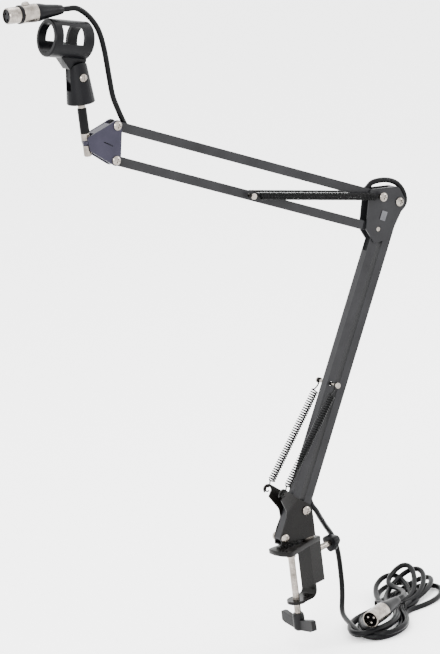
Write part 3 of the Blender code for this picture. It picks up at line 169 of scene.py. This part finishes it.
def finish_material(name, dark, light, metallic, rough, grain, sheen=0.5):
    """A finish whose colour drifts between two shades, with its own grain and roughness."""
    made = bpy.data.materials.new(name)
    made.use_nodes = True
    tree = made.node_tree
    shader = tree.nodes["Principled BSDF"]
    shader.inputs["Metallic"].default_value = metallic
    shader.inputs["Specular IOR Level"].default_value = sheen
    effect = tree.nodes.new("ShaderNodeGroup")
    effect.node_tree = fine_grain
    effect.inputs["Grain Size"].default_value = grain[0]
    effect.inputs["Grain Depth"].default_value = grain[1]
    effect.inputs["Blotch Size"].default_value = grain[2]
    effect.inputs["Rough Low"].default_value = rough[0]
    effect.inputs["Rough High"].default_value = rough[1]
    ramp = tree.nodes.new("ShaderNodeValToRGB")
    ramp.color_ramp.elements[0].position = 0.32
    ramp.color_ramp.elements[0].color = (*dark, 1)
    ramp.color_ramp.elements[1].position = 0.68
    ramp.color_ramp.elements[1].color = (*light, 1)
    tree.links.new(effect.outputs["Tint"], ramp.inputs["Fac"])
    tree.links.new(ramp.outputs["Color"], shader.inputs["Base Color"])
    tree.links.new(effect.outputs["Roughness"], shader.inputs["Roughness"])
    tree.links.new(effect.outputs["Normal"], shader.inputs["Normal"])
    return made


jacket = finish_material("lead_jacket", (0.0010, 0.0010, 0.0012), (0.0022, 0.0022, 0.0026), 0.0,
                         (0.26, 0.36), (1400.0, 0.2, 60.0), sheen=0.06)


def on_curve(knots, step=0.002):
    """Evenly spaced points on a smooth curve whose first and last runs stay straight."""
    knots = [Vector(k) for k in knots]
    line = [knots[0]]
    for i in range(1, len(knots) - 2):
        a, b, c, d = knots[i - 1:i + 3]
        for k in range(24):
            t = k / 24
            line.append(0.5 * (2 * b + (c - a) * t + (2 * a - 5 * b + 4 * c - d) * t * t
                               + (3 * b - a - 3 * c + d) * t ** 3))
    line += knots[-2:]
    total = sum((q - p).length for p, q in zip(line, line[1:]))
    count = max(2, round(total / step))
    evened, walked, wanted = [line[0]], 0.0, total / count
    for p, q in zip(line, line[1:]):
        run = (q - p).length
        while run > 0 and walked + run >= wanted - 1e-9 and len(evened) < count:
            evened.append(p.lerp(q, (wanted - walked) / run))
            wanted += total / count
        walked += run
    return evened + [line[-1]]


def swept(name, line, radius, sides=14, material=None):
    """A round tube along a line, with its ends closed and rounded over."""
    bm = bmesh.new()
    forward = (line[1] - line[0]).normalized()
    side = forward.orthogonal().normalized()
    rings = []
    last = len(line) - 1
    for i, point in enumerate(line):
        turned = (line[min(i + 1, last)] - line[max(i - 1, 0)]).normalized()
        side = (side - turned * side.dot(turned)).normalized()
        other = turned.cross(side)
        rings.append([bm.verts.new(point + (side * math.cos(a) + other * math.sin(a)) * radius)
                      for a in (2 * math.pi * k / sides for k in range(sides))])
    for low, high in zip(rings, rings[1:]):
        for k in range(sides):
            bm.faces.new((low[k], low[(k + 1) % sides], high[(k + 1) % sides], high[k]))
    bm.faces.new(rings[0][::-1])
    bm.faces.new(rings[-1])
    bmesh.ops.recalc_face_normals(bm, faces=bm.faces)
    for face in bm.faces:
        face.smooth = len(face.verts) == 4
    mesh = bpy.data.meshes.new(name)
    bm.to_mesh(mesh)
    bm.free()
    mesh.materials.append(material or jacket)
    obj = bpy.data.objects.new(name, mesh)
    bpy.context.collection.objects.link(obj)
    return obj


def in_channel(root, along, distance, lift):
    normal = Vector((-along.z, 0, along.x))
    if normal.dot(Vector((1, 0, 1))) < 0:
        normal = -normal
    return root + along * distance + normal * lift


def lead_piece(name, line, node, **declared):
    piece = swept(name, line, LEAD_R)
    if node:
        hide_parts(node)
    return piece


# held stretches inside the two channels
down = -upper_dir
top_start = in_channel(pivot["head_level"], down, 0.028, IN_CHANNEL)
top_end = in_channel(pivot["head_level"], down, ARM - 0.030, IN_CHANNEL)
rear_start = in_channel(pivot["lower_arm"], lower_dir, ARM - 0.032, IN_CHANNEL)
rear_end = in_channel(pivot["lower_arm"], lower_dir, 0.030, IN_CHANNEL)
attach(lead_piece("lead_in_top_channel", [top_start, (top_start + top_end) / 2, top_end],
                   "cable_upper"),
        "top_bar")
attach(lead_piece("lead_in_rear_channel", [rear_start, (rear_start + rear_end) / 2, rear_end],
                   "cable_lower"), "rear_bar")

# the socket's tail: out of the channel, up beside the stem and over into the socket's boot
socket_tip = stud + Vector((-0.2852, 0, 0.6446))
socket_dir = Vector((math.cos(math.radians(5.6)), 0, -math.sin(math.radians(5.6))))
boot_end = socket_tip + socket_dir * 0.0655
head_knots = [top_start, in_channel(pivot["head_level"], down, 0.022, IN_CHANNEL),
              in_channel(pivot["head_level"], down, 0.016, IN_CHANNEL + 0.002),
              in_channel(pivot["head_level"], down, 0.009, IN_CHANNEL + 0.008),
              stud + Vector((-0.1696, 0, 0.523)), stud + Vector((-0.1736, 0, 0.5384)),
              stud + Vector((-0.1750, 0, 0.560)), stud + Vector((-0.1766, 0, 0.5877)),
              stud + Vector((-0.1807, 0, 0.609)), stud + Vector((-0.190, 0, 0.625)),
              stud + Vector((-0.202, 0, 0.6354)), boot_end + socket_dir * 0.006, boot_end]
head_line = on_curve(head_knots)
first_cut = next(i for i, p in enumerate(head_line) if p.z > 0.534)
second_cut = next(i for i, p in enumerate(head_line) if p.z > 0.580)
low_part, mid_part, high_part = (head_line[:first_cut + 1], head_line[first_cut:second_cut + 1],
                                 head_line[second_cut:])
piece = lead_piece("lead_at_head", low_part, None, far_end="object", lay="loose")
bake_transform(piece)
piece = lead_piece("lead_beside_stem", mid_part, None, far_end="object", lay="loose")
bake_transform(piece)
piece = lead_piece("lead_to_socket", high_part, "cable_head", far_end="connector", lay="loose",
                   with_pieces=[nodes["xlr_socket_boot"]])
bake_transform(piece)

# round the elbow in one loop
elbow_top, elbow_rear = pivot["upper_arm"], pivot["elbow_level"]
elbow_knots = [top_end, in_channel(pivot["head_level"], down, ARM - 0.025, IN_CHANNEL),
               in_channel(pivot["head_level"], down, ARM - 0.016, IN_CHANNEL + 0.0045),
               elbow_top + Vector((-0.003, 0, 0.0155)), elbow_rear + Vector((-0.010, 0, 0.026)),
               elbow_rear + Vector((0.004, 0, 0.019)), elbow_rear + Vector((0.0115, 0, 0.007)),
               elbow_rear + Vector((0.011, 0, -0.005)),
               in_channel(pivot["lower_arm"], lower_dir, ARM - 0.013, IN_CHANNEL + 0.006),
               in_channel(pivot["lower_arm"], lower_dir, ARM - 0.022, IN_CHANNEL + 0.0005),
               in_channel(pivot["lower_arm"], lower_dir, ARM - 0.026, IN_CHANNEL), rear_start]
elbow_line = on_curve(elbow_knots)
half_way = next(i for i, p in enumerate(elbow_line) if p.x > elbow_rear.x - 0.006)
near_part, far_part = elbow_line[:half_way + 1], elbow_line[half_way:]
piece = lead_piece("lead_over_elbow", near_part, "cable_elbow", far_end="object", lay="loose")
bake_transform(piece)
piece = lead_piece("lead_behind_elbow", far_part, None, far_end="object", lay="loose")
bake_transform(piece)

# out of the rear channel at the base, beside the swivel, then down behind the clamp
rear = pivot["lower_arm"]
slant = Vector((0.55, 0.41, -0.73)).normalized()
handover = rear + Vector((0.0272, 0.007, -0.0204))
base_line = on_curve([rear_end, rear_end - lower_dir * 0.005,
                      in_channel(rear, lower_dir, 0.015, IN_CHANNEL + 0.0045),
                      rear + Vector((0.0125, 0, 0.002)), rear + Vector((0.0184, 0.001, -0.0074)),
                      handover - slant * 0.004, handover])
piece = lead_piece("lead_at_base", base_line, "cable_base", far_end="object", lay="hanging")
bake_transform(piece)

HANK_CENTRE = stud + Vector((0.0929, -0.0073, 0))
HANK_TURN = math.radians(30)
hang = [handover, handover + slant * 0.005, stud + Vector((0.036, 0.016, 0.003)),
        stud + Vector((0.048, 0.024, -0.012)), stud + Vector((0.054, 0.0265, -0.030)),
        stud + Vector((0.056, 0.0285, -0.050)), stud + Vector((0.0555, 0.028, -0.070)),
        stud + Vector((0.051, 0.0235, -0.087)), stud + Vector((0.041, 0.0125, -0.0985))]


def on_hank(x, y, height):
    """A point of the hank: along it, across it, and above the desk."""
    c, s = math.cos(HANK_TURN), math.sin(HANK_TURN)
    return HANK_CENTRE + Vector((x * c - y * s, x * s + y * c, desk_level + 0.0003 + height))


def hank_turn(ring, waist, height, left, right, start, stop):
    """One turn: along the tied waist, round one lobe, back along the waist, round the other."""
    points = []
    for k in range(start, stop, 12):
        a = math.radians(k)
        c, s = math.cos(a), math.sin(a)
        reach, wide, fan, lift = right if c > 0 else left
        open_up = 1 - (1 - min(1.0, abs(c) / 0.75)) ** 2
        x = c * reach
        y = s * (waist * (1 - open_up) + ring * wide * 1.22 * open_up)
        y += math.tan(math.radians(fan)) * x * open_up
        points.append(on_hank(x, y, height + lift * max(0.0, abs(c) - 0.25) ** 1.5
                              + 0.0006 * math.sin(a * 2 + ring * 900)))
    return points


coil = []
# Each turn: half width, half waist, then reach, spread, fan and lift of each lobe. A turn
# starts and ends at the tied waist. The first comes in part way, the last leaves for the plug.
for number, (ring, waist, left, right) in enumerate((
        (0.0300, 0.0145, (0.087, 1.10, 4, 0.000), (0.084, 1.00, -9, 0.000)),
        (0.0235, 0.0090, (0.084, 1.05, 9, 0.000), (0.078, 1.10, 15, 0.004)),
        (0.0175, 0.0040, (0.083, 1.30, -3, 0.000), (0.092, 0.95, -4, 0.008)),
        (0.0275, 0.0120, (0.080, 1.05, 14, 0.001), (0.076, 0.80, 22, 0.016)),
        (0.0215, 0.0065, (0.088, 1.20, 0, 0.001), (0.089, 0.90, 3, 0.020)),
        (0.0150, 0.0030, (0.078, 1.25, 7, 0.001), (0.086, 1.20, 11, 0.026)))):
    coil += hank_turn(ring, waist, LEAD_R + 0.00142 * number, left, right,
                      200 if number == 0 else 90, 420 if number == 5 else 450)
plug_tip = stud + Vector((0.0319, -0.0553, -0.110 + 0.013 + 0.0095 + 0.0003))
plug_dir = Vector((math.cos(math.radians(25)), math.sin(math.radians(25)), 0))
plug_end = plug_tip + plug_dir * 0.0620
tail_line = on_curve(hang + [on_hank(-0.073, 0.010, 0.009), on_hank(-0.084, -0.004, 0.006)] + coil
                     + [on_hank(0.040, 0.0085, 0.0145), on_hank(0.024, -0.0045, 0.0180),
                        on_hank(0.010, -0.0135, 0.0210), plug_end + plug_dir * 0.012,
                        plug_end + plug_dir * 0.006, plug_end], 0.003)
for _ in range(14):
    tail_line[7:-4] = [tail_line[i - 1] * 0.25 + tail_line[i] * 0.5 + tail_line[i + 1] * 0.25
                       for i in range(7, len(tail_line) - 4)]
piece = lead_piece("lead_tail", tail_line, "cable_drop", far_end="connector", lay="coiled",
                   with_pieces=[nodes["xlr_plug_boot"], nodes["xlr_plug_shell"]])
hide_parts("cable_swivel", "cable_hank", "cable_tail")
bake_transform(piece)


# ---------------------------------------------------------------- folded and turned metal
# The bars are open channels of thin steel, painted dark grey. The brackets are folded sheet.
# Every other metal piece is turned or pressed and nickel plated. Their edges are broken
# a little, as tumbling leaves them.
channel_paint = finish_material("channel_paint", (0.0066, 0.0066, 0.0072), (0.0108, 0.0108, 0.0118),
                                0.0, (0.26, 0.38), (1600.0, 0.18, 30.0), sheen=0.10)
head_paint = finish_material("head_paint", (0.0105, 0.0098, 0.0165), (0.0155, 0.0142, 0.0235), 0.0,
                             (0.28, 0.40), (1600.0, 0.2, 34.0), sheen=0.10)
black_paint = finish_material("black_paint", (0.0013, 0.0012, 0.0011), (0.0032, 0.0029, 0.0026),
                              0.0, (0.22, 0.34), (1200.0, 0.22, 36.0), sheen=0.08)
nickel = finish_material("nickel_plate", (0.10, 0.089, 0.078), (0.27, 0.245, 0.22), 1.0,
                         (0.16, 0.28), (2200.0, 0.08, 90.0))
moulded = finish_material("moulded_black", (0.0010, 0.0010, 0.0013), (0.0022, 0.0022, 0.0028), 0.0,
                          (0.30, 0.42), (1500.0, 0.3, 50.0), sheen=0.07)
knob_grey = finish_material("knob_grey", (0.0012, 0.0012, 0.0014), (0.0028, 0.0028, 0.0032), 0.0,
                            (0.34, 0.46), (1300.0, 0.3, 50.0), sheen=0.10)
gloss_black = finish_material("gloss_black", (0.0018, 0.0018, 0.002), (0.003, 0.003, 0.0032), 0.0,
                              (0.08, 0.14), (900.0, 0.05, 40.0), sheen=0.05)


def dressed(node, material, body, edge=0.0003, segments=2, smooth=32):
    """The finished piece for a solid: its own shape, welded, with its edges broken."""
    bm = bmesh.new()
    bm.from_mesh(nodes[node].data)
    bmesh.ops.remove_doubles(bm, verts=bm.verts, dist=0.000002)
    bmesh.ops.dissolve_limit(bm, angle_limit=math.radians(1.2), verts=bm.verts, edges=bm.edges)
    mesh = bpy.data.meshes.new("piece_" + node)
    bm.to_mesh(mesh)
    bm.free()
    mesh.materials.clear()
    mesh.materials.append(material)
    mesh.shade_smooth()
    mesh.set_sharp_from_angle(angle=math.radians(smooth))
    obj = bpy.data.objects.new("piece_" + node, mesh)
    bpy.context.collection.objects.link(obj)
    if edge:
        rim = obj.modifiers.new("broken edges", "BEVEL")
        rim.width = edge
        rim.segments = segments
        rim.limit_method = "ANGLE"
        rim.angle_limit = math.radians(38)
        rim.harden_normals = True
    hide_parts(node)
    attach(obj, body)
    return obj


body_of = {n: b for b, group in frame["record"]["behaviour"]["bodies"].items() for n in group}
for node in ("lower_front_bar", "lower_rear_bar", "upper_top_bar", "upper_bottom_bar",
             "elbow_bracket"):
    dressed(node, channel_paint, body_of[node])
dressed("head_bracket", head_paint, "head")
dressed("base_bracket", black_paint, "base")
dressed("clamp_frame", black_paint, "clamp", edge=0.0008, segments=3)
for node in ("base_front_bolt", "base_rear_bolt", "elbow_rear_bolt", "elbow_top_bolt",
             "elbow_shared_pin", "head_top_bolt", "head_low_bolt", "lower_spring_pin",
             "upper_spring_pin", "base_stud",
             "swivel_washer", "clamp_pad", "clamp_screw", "lock_screw", "stem_stud", "stem_collar",
             "stem_thread", "clip_screw", "xlr_socket_shell", "xlr_latch", "xlr_plug_shell",
             "xlr_plug_pin_1", "xlr_plug_pin_2", "xlr_plug_pin_3"):
    dressed(node, nickel, body_of[node], edge=0.0002)
for node in ("clip_handle", "clip_body"):
    dressed(node, moulded, body_of[node], edge=0.0006, segments=3)
for node in ("lock_knob", "lock_tip", "cable_clip", "hank_tie", "xlr_socket_gasket",
             "xlr_socket_insert", "xlr_socket_boot", "xlr_plug_insert", "xlr_plug_boot"):
    dressed(node, moulded, body_of[node], edge=0.0002)
dressed("clamp_wing_knob", knob_grey, "screw", edge=0.0020, segments=4)
dressed("stem_tube", gloss_black, "stem")

# The elbow bracket's raised tab stands proud of the cheek, and its near face is given a paler
# paint: a painted highlight for the light the tab catches.
tab_painted_highlight = finish_material("tab_painted_highlight", (0.030, 0.030, 0.034), (0.060, 0.060, 0.066), 0.0,
                           (0.30, 0.42), (1600.0, 0.2, 60.0), sheen=0.2)
elbow_piece = bpy.data.objects["piece_elbow_bracket"]
elbow_piece.data.materials.append(tab_painted_highlight)
# the faces at the tab's near side take the paler painted-highlight colour
tab_y = min(v.co.y for v in elbow_piece.data.vertices)
for face in elbow_piece.data.polygons:
    if all(elbow_piece.data.vertices[i].co.y < tab_y + 0.00005 for i in face.vertices):
        face.material_index = 1


# ---------------------------------------------------------------- springs
# Four tension springs of drawn wire. The lower pair is open wound under load and hooks over
# the base bracket's wings, the upper pair is close wound and pulls from the elbow's top bolt.
def spring_tree():
    """Geometry nodes that wind a wire into a coil of a given length along Z."""
    tree = bpy.data.node_groups.new("wound_spring", "GeometryNodeTree")
    for name, kind, value in (("Length", "NodeSocketFloat", 0.1),
                              ("Coil Radius", "NodeSocketFloat", 0.0034),
                              ("Wire Radius", "NodeSocketFloat", 0.0006),
                              ("Turns", "NodeSocketFloat", 30.0), ("Steps", "NodeSocketInt", 500)):
        socket = tree.interface.new_socket(name, in_out="INPUT", socket_type=kind)
        socket.default_value = value
    tree.interface.new_socket("Wire Finish", in_out="INPUT", socket_type="NodeSocketMaterial")
    tree.interface.new_socket("Geometry", in_out="OUTPUT", socket_type="NodeSocketGeometry")
    new, link = tree.nodes.new, tree.links.new
    inlet, outlet = new("NodeGroupInput"), new("NodeGroupOutput")
    coil_line, wire = new("GeometryNodeCurveSpiral"), new("GeometryNodeCurvePrimitiveCircle")
    wire.inputs["Resolution"].default_value = 8
    per_turn = new("ShaderNodeMath")
    per_turn.operation = "DIVIDE"
    link(inlet.outputs["Steps"], per_turn.inputs[0])
    link(inlet.outputs["Turns"], per_turn.inputs[1])
    link(per_turn.outputs[0], coil_line.inputs["Resolution"])
    link(inlet.outputs["Turns"], coil_line.inputs["Rotations"])
    link(inlet.outputs["Coil Radius"], coil_line.inputs["Start Radius"])
    link(inlet.outputs["Coil Radius"], coil_line.inputs["End Radius"])
    link(inlet.outputs["Length"], coil_line.inputs["Height"])
    link(inlet.outputs["Wire Radius"], wire.inputs["Radius"])
    body, real, painted = (new("GeometryNodeCurveToMesh"), new("GeometryNodeRealizeInstances"),
                           new("GeometryNodeSetMaterial"))
    body.inputs["Fill Caps"].default_value = True
    link(coil_line.outputs["Curve"], body.inputs["Curve"])
    link(wire.outputs["Curve"], body.inputs["Profile Curve"])
    link(body.outputs["Mesh"], real.inputs["Geometry"])
    link(real.outputs["Geometry"], painted.inputs["Geometry"])
    link(inlet.outputs["Wire Finish"], painted.inputs["Material"])
    link(painted.outputs["Geometry"], outlet.inputs["Geometry"])
    return tree


spring_nodes = spring_tree()
spring_wire = finish_material("spring_wire", (0.001, 0.001, 0.001), (0.003, 0.003, 0.0032), 0.0,
                              (0.22, 0.32), (1800.0, 0.1, 80.0), sheen=0.06)


def evaluated_copy(obj):
    """The object's finished mesh, as a plain mesh without modifiers."""
    bpy.context.view_layer.update()
    graph = bpy.context.evaluated_depsgraph_get()
    return bpy.data.meshes.new_from_object(obj.evaluated_get(graph))


def winding(start, along, length, coil_radius, wire_radius, turns, wire_finish):
    """The mesh of a wire wound about a line."""
    holder = bpy.data.objects.new("winding", bpy.data.meshes.new("winding"))
    bpy.context.collection.objects.link(holder)
    wind = holder.modifiers.new("wind", "NODES")
    wind.node_group = spring_nodes
    sizes = {"Length": length, "Coil Radius": coil_radius, "Wire Radius": wire_radius,
             "Turns": float(turns), "Steps": int(turns * 18), "Wire Finish": wire_finish}
    for socket in spring_nodes.interface.items_tree:
        if socket.in_out == "INPUT":
            wind[socket.identifier] = sizes[socket.name]
    mesh = evaluated_copy(holder)
    bpy.data.objects.remove(holder)
    turn = along.to_track_quat("Z", "Y").to_matrix().to_4x4()
    turn.translation = start
    mesh.transform(turn)
    return mesh


def hooked_spring(name, node, start, end, coil_radius, wire_radius, turns, lead_start, lead_end):
    """A coil between two straight wire leads that end in open hooks round their pins."""
    along = end - start
    mesh = winding(start + along.normalized() * lead_start, along,
                   along.length - lead_start - lead_end, coil_radius, wire_radius, turns,
                   spring_wire)
    hook_radius = 0.0026
    direction = along.normalized()
    out = direction.cross(Vector((0, 1, 0))).normalized()
    pieces = []
    for anchor, inward, lead in ((start, direction, lead_start), (end, -direction, lead_end)):
        loop = [anchor + (out * math.cos(a) - inward * math.sin(a)) * hook_radius
                for a in (math.radians(20 * k - 90) for k in range(14))]
        shank = [anchor + inward * hook_radius, anchor + inward * (lead * 0.55),
                 anchor + inward * (lead - 0.0006) + out * coil_radius * 0.5,
                 anchor + inward * (lead + 0.0004) + out * coil_radius]
        pieces.append(swept("hook", on_curve(loop[::-1] + shank, 0.0012), wire_radius, 8,
                            spring_wire))
    bm = bmesh.new()
    bm.from_mesh(mesh)
    for extra in pieces:
        bm.from_mesh(extra.data)
        bpy.data.objects.remove(extra)
    for face in bm.faces:
        face.smooth = True
    mesh.clear_geometry()
    bm.to_mesh(mesh)
    bm.free()
    mesh.name = name
    obj = bpy.data.objects.new(name, mesh)
    bpy.context.collection.objects.link(obj)
    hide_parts(node)
    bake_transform(obj)
    return obj


hook_at = pivot["lower_arm_front"] + Vector((-0.0005, 0, 0.0523))
lower_pin = pivot["lower_arm_front"] + lower_dir * ARM / 2
upper_pin = pivot["upper_arm_bottom"] + upper_dir * ARM / 2
for side, sign in (("near", -1), ("far", 1)):
    away = Vector((0, sign * 0.0155, 0))
    hooked_spring("piece_lower_spring_" + side, "lower_spring_" + side, hook_at + away,
                  lower_pin + away, 0.0036, 0.00080, 40, 0.010, 0.012)
    away = Vector((0, sign * 0.011, 0))
    hooked_spring("piece_upper_spring_" + side, "upper_spring_" + side, elbow_top + away,
                  upper_pin + away, 0.0034, 0.00062, 80, 0.010, 0.010)


# ---------------------------------------------------------------- threads and screw heads
# The clamp screw has a rolled thread along its length. The pivot bolts are cross-headed
# machine screws, and the connectors' shells carry turned rings.
def wound_round(piece, start, along, length, radius, pitch):
    """Adds a rolled thread to a finished screw."""
    ridge = winding(start, along, length, radius - 0.00012, 0.00030, length / pitch, nickel)
    bm = bmesh.new()
    bm.from_mesh(piece.data)
    bm.from_mesh(ridge)
    for face in bm.faces:
        face.smooth = True
    bm.to_mesh(piece.data)
    bm.free()


def crossed(piece):
    """Cuts a cross recess into the near head of a bolt."""
    corners = [piece.matrix_world @ Vector(c) for c in piece.bound_box]
    face_y = min(c.y for c in corners)
    middle = sum(corners, Vector()) / 8
    bm = bmesh.new()
    span, slit, depth = 0.0052, 0.0011, 0.0026
    for wide, tall in ((span, slit), (slit, span)):
        made = bmesh.ops.create_cube(bm, size=1)["verts"]
        bmesh.ops.scale(bm, vec=(wide, depth, tall), verts=made)
    bmesh.ops.rotate(bm, cent=(0, 0, 0), matrix=Matrix.Rotation(math.radians(24), 3, "Y"),
                     verts=bm.verts)
    bmesh.ops.translate(bm, vec=(middle.x, face_y, middle.z), verts=bm.verts)
    mesh = bpy.data.meshes.new("recess")
    bm.to_mesh(mesh)
    bm.free()
    cutter = bpy.data.objects.new("recess", mesh)
    bpy.context.collection.objects.link(cutter)
    sunk = piece.modifiers.new("recess", "BOOLEAN")
    sunk.operation = "DIFFERENCE"
    sunk.solver = "EXACT"
    sunk.use_self = True
    sunk.object = cutter
    finished = evaluated_copy(piece)
    piece.modifiers.clear()
    piece.data = finished
    bpy.data.objects.remove(cutter)


turned_pieces = {o.name: o for o in bpy.data.objects if o.name.startswith("piece_")}
for node in ("base_front_bolt", "base_rear_bolt", "elbow_rear_bolt", "elbow_top_bolt",
             "head_top_bolt", "head_low_bolt"):
    crossed(turned_pieces["piece_" + node])
wound_round(turned_pieces["piece_clamp_screw"], Vector((0, 0, -0.0705)), Vector((0, 0, 1)), 0.0615,
            0.0036, 0.0015)


def ringed(piece, tip, along, places, radius):
    """Adds turned rings to a connector's shell at distances from its tip."""
    bm = bmesh.new()
    bm.from_mesh(piece.data)
    for place in places:
        ring = winding(tip + along * place, along, 0.00002, radius - 0.00018, 0.00038, 1.0, nickel)
        bm.from_mesh(ring)
    for face in bm.faces:
        face.smooth = True
    bm.to_mesh(piece.data)
    bm.free()


SHELL_R, NOSE_R = 0.0095, 0.0084
ringed(turned_pieces["piece_xlr_socket_shell"], socket_tip, socket_dir,
       (0.0021, 0.0042, 0.0063, 0.0084), NOSE_R)
ringed(turned_pieces["piece_xlr_socket_shell"], socket_tip, socket_dir,
       (0.0295, 0.0318, 0.0335), SHELL_R)
ringed(turned_pieces["piece_xlr_plug_shell"], plug_tip, plug_dir,
       (0.0006, 0.0190, 0.0212, 0.0234), SHELL_R)
